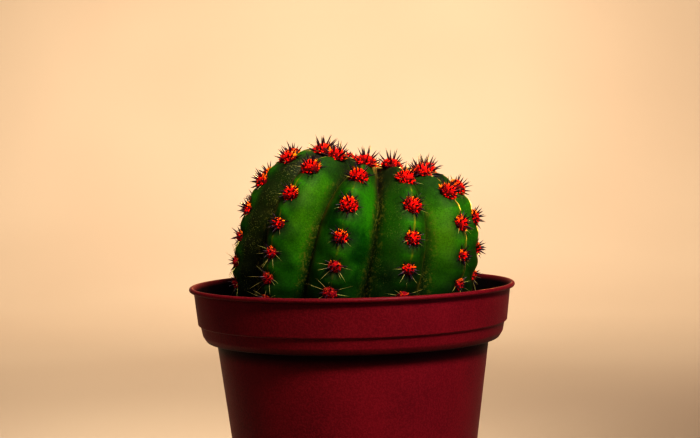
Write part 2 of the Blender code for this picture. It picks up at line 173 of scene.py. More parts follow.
def wave_field(points, wavelength, seed, count=26):
    """Smooth seeded unevenness of about unit size, at about one wavelength."""
    rng = np.random.default_rng(seed)
    total = np.zeros(points.shape[:-1])
    directions = unit(rng.normal(size=(count, 3)))
    stretches = rng.uniform(0.6, 1.6, count)
    phases = rng.uniform(0.0, FULL_TURN, count)
    for direction, stretch, phase in zip(directions, stretches, phases):
        total += np.sin(points @ direction * (FULL_TURN * stretch / wavelength) + phase)
    return total * math.sqrt(2.0 / count) * 0.7


# ---- Meshes --------------------------------------------------------------------------------
def write_mesh(name, points, faces, material, attributes=None, smooth=True):
    """Make an object in metres from points in millimetres, with named numbers on its points.

    Faces are a list of arrays, each with one row of corners per face.
    """
    mesh = bpy.data.meshes.new(name)
    totals = np.concatenate([np.full(len(f), f.shape[1]) for f in faces])
    mesh.vertices.add(len(points))
    mesh.vertices.foreach_set("co", (np.asarray(points, float) * MM).ravel())
    mesh.loops.add(int(totals.sum()))
    corners = np.concatenate([f.ravel() for f in faces]).astype(np.int32)
    mesh.loops.foreach_set("vertex_index", corners)
    mesh.polygons.add(len(totals))
    mesh.polygons.foreach_set("loop_start", (np.cumsum(totals) - totals).astype(np.int32))
    mesh.update(calc_edges=True)
    for key, values in (attributes or {}).items():
        layer = mesh.attributes.new(key, "FLOAT", "POINT")
        layer.data.foreach_set("value", np.asarray(values, np.float32))
    mesh.polygons.foreach_set("use_smooth", [smooth] * len(mesh.polygons))
    mesh.validate()
    mesh.materials.append(material)
    obj = bpy.data.objects.new(name, mesh)
    bpy.context.scene.collection.objects.link(obj)
    return obj


def ring_faces(rows, columns):
    """Quads between closed rings of points, row after row."""
    i = np.arange(columns)
    j = (i + 1) % columns
    r = np.arange(rows - 1)[:, None] * columns
    quads = np.stack([r + i, r + columns + i, r + columns + j, r + j], axis=-1)
    return quads.reshape(-1, 4)


def fan_faces(middle, ring, flip=False):
    """Triangles from one point to a closed ring of points."""
    ring = np.asarray(ring)
    fan = np.stack([np.full(len(ring), middle), ring, np.roll(ring, -1)], axis=-1)
    return fan[:, ::-1] if flip else fan


def strands(roots, directions, lengths, thickness, bends, sides, rings, taper):
    """Tapered curved tubes, each from its root to a point.

    Returns points, faces, each point's share of the way along and the points in one strand.
    """
    roots = np.asarray(roots, float)
    directions = unit(directions)
    count = len(roots)
    lengths = np.broadcast_to(np.asarray(lengths, float), (count,))
    thickness = np.broadcast_to(np.asarray(thickness, float), (count,))
    helper = np.where(np.abs(directions[:, 2:3]) < 0.9, [[0.0, 0.0, 1.0]], [[1.0, 0.0, 0.0]])
    aside = unit(np.cross(directions, helper))
    across = np.cross(directions, aside)
    share = np.linspace(0.0, 1.0, rings + 1)
    angle = FULL_TURN * np.arange(sides) / sides
    spine = (roots[:, None, :] + directions[:, None, :] * (lengths[:, None] * share)[:, :, None]
             + bends[:, None, :] * (lengths[:, None] * share ** 2)[:, :, None])
    width = thickness[:, None] * (1.0 - share[:-1] ** taper)
    circle = (aside[:, None, :] * np.cos(angle)[None, :, None]
              + across[:, None, :] * np.sin(angle)[None, :, None])
    skin = spine[:, :-1, None, :] + circle[:, None, :, :] * width[:, :, None, None]
    points = np.concatenate([skin.reshape(count, -1, 3), spine[:, -1:, :]], axis=1)
    body = ring_faces(rings, sides)
    tip = rings * sides
    cone = fan_faces(tip, (rings - 1) * sides + np.arange(sides), True)
    root = np.arange(sides)[::-1][None, :]
    start = (np.arange(count) * (tip + 1))[:, None, None]
    faces = [(part + start).reshape(-1, part.shape[1]) for part in (body, cone, root)]
    along = np.tile(np.append(np.repeat(share[:-1], sides), 1.0), count)
    return points.reshape(-1, 3), faces, along, tip + 1


class Batch:
    """Meshes gathered into one object."""

    def __init__(self):
        self.points = []
        self.faces = []
        self.values = {}
        self.size = 0

    def add(self, points, faces, **values):
        """Add points and faces with one number per point for each named value."""
        self.points.append(points)
        self.faces.extend([part + self.size for part in faces])
        for key, value in values.items():
            self.values.setdefault(key, []).append(np.broadcast_to(value, (len(points),)))
        self.size += len(points)

    def write(self, name, material, smooth=True):
        """Write everything gathered as one object."""
        attributes = {key: np.concatenate(parts) for key, parts in self.values.items()}
        points = np.concatenate(self.points)
        return write_mesh(name, points, self.faces, material, attributes, smooth)


def show(piece, slot_name, *nodes):
    """Tie a piece to the pot's body and hide the CAD nodes it stands for."""
    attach(piece, "root")
    if nodes:
        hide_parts(*nodes)
    return piece


# ---- Material helpers ----------------------------------------------------------------------
class Shader:
    """A Principled material built node by node."""

    def __init__(self, name):
        self.material = bpy.data.materials.new(name)
        self.material.use_nodes = True
        self.tree = self.material.node_tree
        self.principled = self.tree.nodes["Principled BSDF"]

    def plug(self, socket, value):
        """Set a socket to a number or colour, or link it to another socket."""
        if isinstance(value, bpy.types.NodeSocket):
            self.tree.links.new(value, socket)
        elif isinstance(value, (tuple, list)) and len(value) == 3 and socket.type == "RGBA":
            socket.default_value = (*value, 1.0)
        else:
            socket.default_value = value

    def set(self, **values):
        """Set the shader's own sockets; an underscore stands for a space."""
        for key, value in values.items():
            self.plug(self.principled.inputs[key.replace("_", " ")], value)

    def node(self, kind, inputs=None, **settings):
        """Add a node and return it."""
        made = self.tree.nodes.new(kind)
        for key, value in settings.items():
            setattr(made, key, value)
        for key, value in (inputs or {}).items():
            self.plug(made.inputs[key], value)
        return made

    def value(self, name):
        """A number stored on the mesh."""
        return self.node("ShaderNodeAttribute", attribute_name=name).outputs["Fac"]

    def place(self):
        """The object's own coordinates in metres."""
        return self.node("ShaderNodeTexCoord").outputs["Object"]

    def noise(self, scale, detail=4.0, roughness=0.55, stretch=None):
        """Cloudy noise from 0 to 1, with scale in features per metre."""
        where = self.place()
        if stretch:
            mapping = self.node("ShaderNodeMapping", {"Vector": where, "Scale": stretch})
            where = mapping.outputs["Vector"]
        made = self.node("ShaderNodeTexNoise", {
            "Vector": where, "Scale": scale, "Detail": detail, "Roughness": roughness})
        return made.outputs["Fac"]

    def spread(self, value, low, high, start=0.0, end=1.0):
        """Carry low..high smoothly to start..end, held at the ends."""
        made = self.node("ShaderNodeMapRange", {
            "Value": value, "From Min": low, "From Max": high, "To Min": start, "To Max": end},
            interpolation_type="SMOOTHSTEP")
        return made.outputs["Result"]

    def math(self, operation, first, second):
        """One step of arithmetic."""
        made = self.node("ShaderNodeMath", operation=operation)
        self.plug(made.inputs[0], first)
        self.plug(made.inputs[1], second)
        return made.outputs["Value"]

    def times(self, first, second):
        """A product."""
        return self.math("MULTIPLY", first, second)

    def plus(self, first, second):
        """A sum."""
        return self.math("ADD", first, second)

    def mix(self, share, first, second):
        """Mix two colours."""
        made = self.node("ShaderNodeMix", data_type="RGBA", clamp_factor=True)
        self.plug(made.inputs["Factor"], share)
        self.plug(made.inputs[6], first)
        self.plug(made.inputs[7], second)
        return made.outputs[2]

    def layer(self, base, share, amount, colour):
        """Lay a colour over another by a share times an amount."""
        return self.mix(self.times(share, amount), base, colour)

    def bump(self, height, distance, strength=1.0, base=None):
        """A bump of a real height in metres."""
        inputs = {"Height": height, "Distance": distance, "Strength": strength}
        if base is not None:
            inputs["Normal"] = base
        return self.node("ShaderNodeBump", inputs).outputs["Normal"]


# ---- Stem shape ----------------------------------------------------------------------------
def crest_profile():
    """Way, radius, height and outward direction of a rib's crest, from the crown downward."""
    latitude = np.radians(np.linspace(90.0, STEM_LOWEST_LATITUDE, 1561))
    power = 2.0 / STEM_SQUARENESS
    radius = STEM_RADIUS * np.maximum(np.cos(latitude), 0.0) ** power
    height = np.sign(latitude) * np.abs(np.sin(latitude)) ** power
    height = height * np.where(latitude > 0.0, STEM_TOP_HEIGHT, STEM_LOW_HEIGHT)
    bend = np.linspace(0.0, 0.5 * math.pi, 60)[1:]
    neck_radius = radius[-1] - (radius[-1] - ROOT_RADIUS) * np.sin(bend)
    neck_height = height[-1] - ROOT_BEND_DEPTH * (1.0 - np.cos(bend))
    radius = np.concatenate([radius, neck_radius])
    height = np.concatenate([height, neck_height])
    way = np.concatenate([[0.0], np.cumsum(np.hypot(np.diff(radius), np.diff(height)))])
    return way, radius, height, -np.gradient(height, way), np.gradient(radius, way)


CREST = crest_profile()


def rib_angle(rib):
    """Direction of a rib's crest about the stem's axis, from the front towards +X."""
    angle = FIRST_RIB_ANGLE + FULL_TURN * np.asarray(rib, float) / RIBS
    return angle + RIB_WANDER * np.sin(angle - math.radians(40.0))


def column_angle(rib, across):
    """Direction at a share of the way from a rib's crest (0) to the furrow beside it (-1 or 1)."""
    side = np.where(np.asarray(across) > 0.0, 1, -1)
    crest = rib_angle(rib)
    return crest + np.abs(across) * 0.5 * (rib_angle(rib + side) - crest)


def rib_shift(rib):
    """How far a rib's areoles sit below the first row, as a share of their spacing."""
    number = np.mod(rib, RIBS)
    wander = RIB_SHIFT_WANDER * np.sin(2.3 * number)
    return np.where(number == SHIFTED_RIB, SHIFTED_RIB_SHIFT, wander)


def areole_way(count):
    """Way along a crest to an areole. Areoles come closer together lower down."""
    return FIRST_AREOLE + AREOLE_PITCH * count - AREOLE_PITCH_LOSS * count * count


def areole_count(way):
    """The inverse of areole_way."""
    past = np.asarray(way, float) - FIRST_AREOLE
    root = AREOLE_PITCH ** 2 - 4.0 * AREOLE_PITCH_LOSS * past
    return (AREOLE_PITCH - np.sqrt(np.maximum(root, 0.0))) / (2.0 * AREOLE_PITCH_LOSS)


LEAN = np.array(Matrix.Rotation(LEAN_FRONT, 3, "X") @ Matrix.Rotation(LEAN_RIGHT, 3, "Y"))


def lean(points):
    """Carry points from the upright stem to the leaning one in the pot."""
    return points @ LEAN.T + STEM_CENTRE


def stem_points(rib, across, way, fine=True):
    """Points on the skin: ribs between furrows, notched at each areole, with a sunken crown."""
    rib, across, way = np.broadcast_arrays(
        np.asarray(rib), np.asarray(across, float), np.asarray(way, float))
    radius, height, out_radius, out_height = (
        np.interp(way, CREST[0], CREST[k]) for k in (1, 2, 3, 4))
    strength = smooth_step(2.0, 20.0, way) * (1.0 - smooth_step(60.0, 80.0, way))
    count = areole_count(way) - rib_shift(rib)
    beat = 0.5 + 0.5 * np.cos(FULL_TURN * count)
    share = np.abs(across)
    inward = FURROW_DEPTH * share ** RIB_ROUNDNESS
    inward = inward + NOTCH_DEPTH * beat * np.exp(-((across / NOTCH_WIDTH) ** 2))
    if fine:
        flank = np.sin(math.pi * np.minimum(share, 1.0)) ** 2
        lagged = np.cos(FULL_TURN * count - 2.2 * share)
        inward = inward - 0.22 * flank * lagged
    radius = radius - inward * strength * out_radius
    angle = column_angle(rib, across)
    back = smooth_step(2.0, 12.0, way) * (1.0 - smooth_step(16.0, 40.0, way))
    height = height - inward * strength * out_height
    height = height - CROWN_DIP * np.exp(-((way / CROWN_DIP_RADIUS) ** 2))
    height = height - BACK_DROP * smooth_step(0.1, 1.0, -np.cos(angle)) * back
    upright = np.stack([radius * np.sin(angle), -radius * np.cos(angle), height], axis=-1)
    if fine:
        out = [out_radius * np.sin(angle), -out_radius * np.cos(angle), out_height]
        out = np.stack(out, axis=-1)
        uneven = 0.16 * wave_field(upright, 15.0, SEED + 1)
        uneven = uneven + 0.045 * wave_field(upright, 3.6, SEED + 2)
        corky = 1.0 - smooth_step(SOIL_TOP + 1.0, SOIL_TOP + 8.0, lean(upright)[..., 2])
        uneven = uneven + 0.16 * corky * wave_field(upright * (1.0, 1.0, 3.5), 3.2, SEED + 3)
        calm_crown = smooth_step(0.0, 12.0, way) * 0.9 + 0.1
        upright = upright + out * uneven[..., None] * calm_crown[..., None]
    return lean(upright)


def skin_frames(rib, way):
    """Point, upward, sideways and outward directions on rib crests."""
    point = stem_points(rib, 0.0, way)
    above = stem_points(rib, 0.0, way - 0.6, False)
    upward = unit(above - stem_points(rib, 0.0, way + 0.6, False))
    aside = stem_points(rib, 0.12, way, False) - stem_points(rib, -0.12, way, False)
    outward = unit(np.cross(aside, upward))
    away = np.sum(outward * (point - STEM_CENTRE), axis=-1, keepdims=True)
    outward = np.where(away < 0.0, -outward, outward)
    return point, upward, unit(np.cross(upward, outward)), outward


# ---- Materials -----------------------------------------------------------------------------
def plastic_material():
    """Satin moulded plastic, deep red, with a faint grain, scuffs and dust, near-black painted
    shade on the inner wall and a painted shadow under the ledge.
    """
    s = Shader("satin_red_plastic")
    cloud = s.noise(38.0, 5.0, 0.6)
    grain = s.noise(2100.0, 3.0, 0.6)
    flow = s.noise(60.0, 4.0, 0.6, stretch=(1.0, 1.0, 0.08))
    scuff = s.spread(s.noise(420.0, 6.0, 0.7, stretch=(0.35, 0.35, 3.0)), 0.62, 0.8)
    dust = s.spread(s.noise(900.0, 4.0, 0.75), 0.62, 0.8)
    base = s.mix(s.spread(cloud, 0.3, 0.7), (0.080, 0.0042, 0.0082), (0.108, 0.0052, 0.0096))
    base = s.layer(base, s.spread(flow, 0.35, 0.7), 0.3, (0.15, 0.0055, 0.012))
    base = s.mix(s.spread(grain, 0.4, 0.62, 0.0, 0.35), base, (0.19, 0.012, 0.019))
    base = s.layer(base, scuff, 0.1, (0.24, 0.04, 0.05))
    base = s.layer(base, dust, 0.05, (0.2, 0.10, 0.08))
    # Painted shade: the inner wall goes near black in patches, and rougher there.
    patches = s.spread(s.noise(220.0, 5.0, 0.7), 0.25, 0.6, 0.88, 1.0)
    inner_shade = s.times(s.value("inside"), patches)
    base = s.mix(inner_shade, base, (0.004, 0.0015, 0.002))
    # Painted shadow: near black just under the ledge.
    base = s.mix(s.value("painted_ledge_shadow"), base, (0.010, 0.0008, 0.0012))
    roughness = s.plus(s.spread(cloud, 0.25, 0.75, 0.40, 0.50), s.times(scuff, 0.12))
    roughness = s.plus(roughness, s.times(inner_shade, 0.5))
    normal = s.bump(grain, 0.00007, 0.8)
    normal = s.bump(flow, 0.00022, 0.3, normal)
    s.set(Base_Color=base, Roughness=roughness, Normal=normal, Specular_IOR_Level=0.09, IOR=1.47)
    return s.material


def skin_material():
    """Waxy green skin, with a painted yellow-green highlight along the rib crests, dust-flecked
    furrows darkened by painted shade, painted shade below the areoles, over the crown and near the
    soil, darker olive flanks partly of dust and partly of painted shade, and painted light on lit
    flanks.
    """
    s = Shader("waxy_green_skin")
    across = s.value("across")
    low = s.value("low")
    painted_shade = s.value("painted_shade")
    dust_and_shade = s.value("dust_and_shade")
    age = s.noise(75.0, 5.0, 0.6)
    mottle = s.noise(420.0, 5.0, 0.65)
    fine = s.noise(2600.0, 3.0, 0.7)
    # Painted highlight: a broken yellow-green line along each rib's crest.
    line = s.times(s.spread(across, 0.01, 0.05, 1.0, 0.0), s.spread(mottle, 0.42, 0.62, 0.0, 1.0))
    shoulder = s.times(s.spread(across, 0.06, 0.35, 1.0, 0.0), s.spread(age, 0.35, 0.65, 0.2, 1.0))
    # Painted shade deep in the furrows, with a wavering edge.
    furrow = s.spread(s.plus(across, s.spread(age, 0.3, 0.7, -0.06, 0.06)), 0.74, 0.99)
    base = s.mix(s.spread(age, 0.39, 0.61), (0.0007, 0.048, 0.0003), (0.021, 0.150, 0.0005))
    base = s.layer(base, s.spread(mottle, 0.45, 0.75), 0.5, (0.018, 0.132, 0.0005))
    # Painted light: yellow-green on lit flanks.
    painted_light = s.spread(age, 0.3, 0.65, 0.3, 0.9)
    base = s.layer(base, s.value("painted_light"), painted_light, (0.056, 0.140, 0.0006))
    base = s.layer(base, s.spread(fine, 0.36, 0.56, 1.0, 0.0), 0.35, (0.001, 0.028, 0.0003))
    base = s.layer(base, s.spread(fine, 0.54, 0.72), 0.3, (0.050, 0.20, 0.003))
    # Darker olive flanks: partly dust, partly painted shade.
    base = s.layer(base, dust_and_shade, s.spread(age, 0.2, 0.6, 0.65, 1.0), (0.010, 0.014, 0.0010))
    # Painted shade in the furrows.
    base = s.layer(base, furrow, 0.8, (0.008, 0.012, 0.0010))
    base = s.layer(base, shoulder, 0.3, (0.060, 0.17, 0.001))
    # Painted highlight on the crests.
    base = s.layer(base, line, 0.6, (0.24, 0.22, 0.004))
    # Painted shade below the areoles and over the crown.
    base = s.layer(base, painted_shade, 0.90, (0.013, 0.007, 0.008))
    # Painted shade, darker towards the soil.
    base = s.layer(base, low, 0.95, (0.002, 0.006, 0.0015))
    dust_area = s.math("MAXIMUM", s.spread(across, 0.5, 1.0, 0.05, 0.8), dust_and_shade)
    dust_area = s.times(dust_area, s.spread(s.noise(170.0, 3.0), 0.4, 0.62, 0.15, 1.0))
    specks = s.times(s.spread(s.noise(3300.0, 2.0, 0.5), 0.58, 0.67), dust_area)
    base = s.layer(base, specks, 0.5, (0.20, 0.20, 0.05))
    flecks = s.spread(s.noise(1150.0, 3.0, 0.65), 0.5, 0.62)
    flecks = s.times(flecks, s.spread(across, 0.66, 0.84))
    flecks = s.times(flecks, s.spread(age, 0.4, 0.6, 0.1, 1.0))
    base = s.layer(base, flecks, 0.5, (0.13, 0.11, 0.016))
    roughness = s.plus(s.spread(mottle, 0.3, 0.7, 0.5, 0.62), s.times(furrow, 0.18))
    pores = s.bump(fine, 0.00005, 0.6)
    normal = s.bump(mottle, 0.00016, 0.5, pores)
    s.set(Base_Color=base, Roughness=roughness, Normal=normal, Specular_IOR_Level=0.07, IOR=1.42,
          Sheen_Weight=0.06, Sheen_Roughness=0.25, Sheen_Tint=(1.0, 0.55, 0.05, 1.0),
          Subsurface_Weight=0.10, Subsurface_Radius=(0.0012, 0.0016, 0.0001), Subsurface_Scale=1.0)
    return s.material


def wool_material():
    """Dense red wool, orange at the fibre tips and crimson where it is older, with painted orange
    top light on the fibres of its top side.
    """
    s = Shader("red_wool")
    along = s.value("along")
    pick = s.value("pick")
    old = s.value("old")
    clump = s.noise(1500.0, 3.0, 0.6)
    base = s.mix(pick, (0.62, 0.0012, 0.0008), (1.0, 0.006, 0.0010))
    base = s.layer(base, s.spread(along, 0.7, 1.0), 0.3, (1.0, 0.05, 0.002))
    base = s.layer(base, s.spread(clump, 0.48, 0.68), 0.2, (1.0, 0.07, 0.004))
    # Painted light: orange top light on the fibres of each cushion's top side.
    base = s.layer(base, s.value("upper"), s.spread(pick, 0.1, 0.6, 0.6, 1.0), (1.0, 0.27, 0.006))
    base = s.mix(s.spread(along, 0.2, 0.5, 1.0, 0.0), base, (0.085, 0.0006, 0.0016))
    base = s.layer(base, old, 0.75, (0.14, 0.0008, 0.010))
    normal = s.bump(clump, 0.0001, 0.5)
    s.set(Base_Color=base, Roughness=0.85, Normal=normal, Specular_IOR_Level=0.12,
          Subsurface_Weight=0.05, Subsurface_Radius=(0.0004, 0.00005, 0.00003),
          Subsurface_Scale=1.0,
          Sheen_Weight=0.12, Sheen_Roughness=0.4, Sheen_Tint=(1.0, 0.3, 0.05, 1.0))
    return s.material


def spine_material():
    """Horny spines: young ones purple-black, old ones straw-coloured with a red-brown root."""
    s = Shader("horny_spine")
    along = s.value("along")
    pale = s.value("pale")
    pick = s.value("pick")
    streak = s.noise(2400.0, 3.0, 0.6, stretch=(1.0, 1.0, 0.4))
    dark = s.mix(s.spread(along, 0.15, 0.55), (0.14, 0.004, 0.012), (0.012, 0.002, 0.010))
    straw = s.mix(s.spread(along, 0.05, 0.4), (0.16, 0.012, 0.008), (0.30, 0.25, 0.07))
    straw = s.layer(straw, s.spread(along, 0.75, 1.0), 0.5, (0.22, 0.11, 0.04))
    straw = s.layer(straw, s.spread(pick, 0.4, 1.0), 0.5, (0.36, 0.42, 0.09))
    base = s.mix(pale, dark, straw)
    base = s.layer(base, s.spread(streak, 0.4, 0.7), 0.25, (0.05, 0.015, 0.012))
    normal = s.bump(streak, 0.00002, 0.4)
    s.set(Base_Color=base, Roughness=s.spread(streak, 0.2, 0.8, 0.34, 0.5), Normal=normal,
          Specular_IOR_Level=0.3, IOR=1.5)
    return s.material


def soil_material():
    """Moist dark peat."""
    s = Shader("moist_peat")
    coarse = s.noise(260.0, 8.0, 0.7)
    fine = s.noise(1700.0, 6.0, 0.75)
    pick = s.value("pick")
    base = s.mix(s.spread(coarse, 0.35, 0.65), (0.007, 0.0042, 0.0028), (0.026, 0.015, 0.009))
    base = s.layer(base, s.spread(fine, 0.5, 0.75), 0.6, (0.05, 0.028, 0.015))
    base = s.layer(base, s.spread(pick, 0.55, 1.0), 0.7, (0.075, 0.042, 0.022))
    normal = s.bump(fine, 0.0003, 0.9)
    normal = s.bump(coarse, 0.0008, 0.7, normal)
    s.set(Base_Color=base, Roughness=s.spread(fine, 0.3, 0.7, 0.95, 0.75), Normal=normal,
          Specular_IOR_Level=0.25)
    return s.material


def grit_material():
    """Mixed grit: grey, brown and tan stone with a few white perlite grains."""
    s = Shader("potting_grit")
    pick = s.value("pick")
    fine = s.noise(1300.0, 6.0, 0.7)
    base = s.mix(s.spread(pick, 0.0, 0.45), (0.030, 0.022, 0.016), (0.085, 0.060, 0.038))
    base = s.mix(s.spread(pick, 0.45, 0.72), base, (0.13, 0.115, 0.10))
    base = s.mix(s.spread(pick, 0.86, 0.9), base, (0.52, 0.49, 0.43))
    base = s.layer(base, s.spread(fine, 0.45, 0.7), 0.45, (0.045, 0.03, 0.02))
    normal = s.bump(fine, 0.0002, 0.8)
    s.set(Base_Color=base, Roughness=s.spread(fine, 0.3, 0.7, 0.7, 0.9), Normal=normal,
          Specular_IOR_Level=0.3)
    return s.material


# ---- Pot -----------------------------------------------------------------------------------
def body_radius(height):
    """Outside radius of the tapered body at a height above the foot."""
    return BODY_FOOT_RADIUS + (BODY_TOP_RADIUS - BODY_FOOT_RADIUS) * height / LEDGE_HEIGHT


def rounded(points, radius, steps=5):
    """Round each inner corner of a line of (radius, height) points."""
    made = [np.array(points[0], float)]
    for before, corner, after in zip(points, points[1:], points[2:]):
        before, corner, after = (np.array(p, float) for p in (before, corner, after))
        near, far = before - corner, after - corner
        reach = min(radius, 0.45 * np.linalg.norm(near), 0.45 * np.linalg.norm(far))
        start = corner + near / np.linalg.norm(near) * reach
        end = corner + far / np.linalg.norm(far) * reach
        for k in range(steps + 1):
            t = k / steps
            made.append((1 - t) ** 2 * start + 2 * t * (1 - t) * corner + t * t * end)
    made.append(np.array(points[-1], float))
    return made


def pot_profile():
    """The pot's section, from the underside's middle round to the floor's middle.

    Returns its points and which of them are inside the pot.
    """
    roll = 0.5 * LIP_THICKNESS
    outside = rounded([
        (0.0, FLOOR_HEIGHT),
        (BODY_FOOT_RADIUS - FOOT_RING_WIDTH, FLOOR_HEIGHT),
        (BODY_FOOT_RADIUS - FOOT_RING_WIDTH, 0.0),
        (BODY_FOOT_RADIUS, 0.0),
        *((body_radius(LEDGE_HEIGHT - drop), LEDGE_HEIGHT - drop) for drop in PAINTED_SHADOW_ROWS),
        (BODY_TOP_RADIUS, LEDGE_HEIGHT),
        (BAND_LOW_RADIUS - 1.0, LEDGE_HEIGHT + 0.15),
        (BAND_LOW_RADIUS, BAND_HEIGHT),
        (BAND_TOP_RADIUS, STEP_HEIGHT - 0.1),
        (COLLAR_STEP_RADIUS, STEP_HEIGHT + 0.02),
        (COLLAR_TOP_RADIUS, POT_HEIGHT - LIP_THICKNESS - 0.1),
    ], OUTSIDE_CORNER)
    lip = []
    for step in range(LIP_STEPS + 1):
        angle = math.radians(-78.0 + 216.0 * step / LIP_STEPS)
        height = POT_HEIGHT - roll + roll * math.sin(angle)
        lip.append((LIP_RADIUS - roll + roll * math.cos(angle), height))
    inside = rounded([
        (COLLAR_TOP_RADIUS - WALL, POT_HEIGHT - LIP_THICKNESS - 0.1),
        (COLLAR_STEP_RADIUS - WALL, STEP_HEIGHT + 0.4 * WALL),
        (BAND_TOP_RADIUS - WALL, STEP_HEIGHT - 0.7 * WALL),
        (BAND_LOW_RADIUS - WALL, BAND_HEIGHT + 0.3 * WALL),
        (BAND_LOW_RADIUS - 1.8 * WALL, LEDGE_HEIGHT + WALL),
        (BODY_TOP_RADIUS - WALL, LEDGE_HEIGHT + WALL),
        (body_radius(FLOOR_TOP + 2.0) - WALL, FLOOR_TOP + 2.0),
        (body_radius(FLOOR_TOP) - 3.0 * WALL, FLOOR_TOP),
        (0.0, FLOOR_TOP),
    ], INSIDE_CORNER)
    points = np.concatenate([outside, lip, inside])
    return points, np.arange(len(points)) >= len(outside) + len(lip)


def cutter(name, mesh_data, transform):
    """A hidden solid used only for cutting."""
    mesh_data.transform(Matrix.Scale(MM, 4) @ transform)
    mesh = bpy.data.meshes.new(name)
    mesh_data.to_mesh(mesh)
    mesh_data.free()
    obj = bpy.data.objects.new(name, mesh)
    bpy.context.scene.collection.objects.link(obj)
    return obj


def carve(obj, cutters):
    """Cut hidden solids out of an object and weld the slivers that this leaves."""
    for tool in cutters:
        modifier = obj.modifiers.new(tool.name, "BOOLEAN")
        modifier.operation = "DIFFERENCE"
        modifier.object = tool
    bpy.context.view_layer.update()
    evaluated = obj.evaluated_get(bpy.context.evaluated_depsgraph_get())
    carved = bpy.data.meshes.new_from_object(evaluated)
    obj.modifiers.clear()
    obj.data = carved
    for tool in cutters:
        bpy.data.objects.remove(tool)
    clean = bmesh.new()
    clean.from_mesh(carved)
    bmesh.ops.remove_doubles(clean, verts=clean.verts, dist=WELD * MM)
    bmesh.ops.dissolve_degenerate(clean, edges=clean.edges, dist=WELD * MM)
    bmesh.ops.triangulate(clean, faces=[f for f in clean.faces if len(f.verts) > 4])
    clean.to_mesh(carved)
    clean.free()
    carved.polygons.foreach_set("use_smooth", [True] * len(carved.polygons))
    carved.set_sharp_from_angle(angle=SHARP_ANGLE)


def build_pot(material):
    """High-resolution pot with its drain holes and foot notches cut for real."""
    profile, within = pot_profile()
    inner, within = profile[1:-1], within[1:-1]
    angle = FULL_TURN * np.arange(POT_SEGMENTS) / POT_SEGMENTS
    radius, height = inner[:, 0][:, None], inner[:, 1]
    rise = smooth_step(10.0, POT_HEIGHT, height)[:, None]
    warp = 1.0 + POT_OUT_OF_ROUND * np.sin(2.0 * angle + 0.6) * rise
    points = np.stack([
        radius * warp * np.sin(angle), -radius * warp * np.cos(angle),
        np.broadcast_to(height[:, None], (len(inner), POT_SEGMENTS))], axis=-1).reshape(-1, 3)
    ring = np.arange(POT_SEGMENTS)
    faces = [ring_faces(len(inner), POT_SEGMENTS), fan_faces(len(points), ring),
             fan_faces(len(points) + 1, (len(inner) - 1) * POT_SEGMENTS + ring, True)]
    middles = [[0.0, 0.0, profile[0][1]], [0.0, 0.0, profile[-1][1]]]
    points = np.concatenate([points, middles])
    # The inner wall below the lip, where the material paints shade.
    inside = np.repeat(within & (height < POT_HEIGHT - 1.0), POT_SEGMENTS)
    # Painted shadow under the ledge, on the outside only: full just below it, fading out lower
    # down.
    under = smooth_step(LEDGE_HEIGHT - PAINTED_SHADOW_DROP, LEDGE_HEIGHT - PAINTED_SHADOW_FULL_DROP, height)
    under = under * (1.0 - smooth_step(LEDGE_HEIGHT + 0.2, LEDGE_HEIGHT + 0.7, height))
    painted_ledge_shadow = np.repeat(PAINTED_LEDGE_SHADOW * under * ~within, POT_SEGMENTS)
    pot = write_mesh("nursery_pot", points, faces, material, {
        "inside": np.append(inside, [0.0, 1.0]), "painted_ledge_shadow": np.append(painted_ledge_shadow, [0.0, 0.0])})
    cutters = []
    for i in range(DRAIN_HOLES):
        hole = bmesh.new()
        bmesh.ops.create_cone(hole, cap_ends=True, segments=40, depth=5.0,
                              radius1=DRAIN_HOLE_RADIUS, radius2=DRAIN_HOLE_RADIUS)
        turn = Matrix.Rotation(FULL_TURN * (i + 0.5) / DRAIN_HOLES, 4, "Z")
        shift = Matrix.Translation((0.0, DRAIN_CIRCLE_RADIUS, 0.5 * (FLOOR_HEIGHT + FLOOR_TOP)))
        cutters.append(cutter("hole_%d" % i, hole, turn @ shift))
    for i in range(FOOT_NOTCHES):
        notch = bmesh.new()
        bmesh.ops.create_cube(notch, size=1.0)
        turn = Matrix.Rotation(FULL_TURN * (i + 0.5) / FOOT_NOTCHES, 4, "Z")
        shift = Matrix.Translation((0.0, BODY_FOOT_RADIUS - 0.5 * FOOT_RING_WIDTH, 0.0))
        size = Matrix.Diagonal(
            (FOOT_NOTCH_WIDTH, 4.0 * FOOT_RING_WIDTH, 2.0 * FOOT_NOTCH_HEIGHT, 1.0))
        cutters.append(cutter("notch_%d" % i, notch, turn @ shift @ size))
    carve(pot, cutters)
    return show(pot, "terracotta_plastic", "pot")


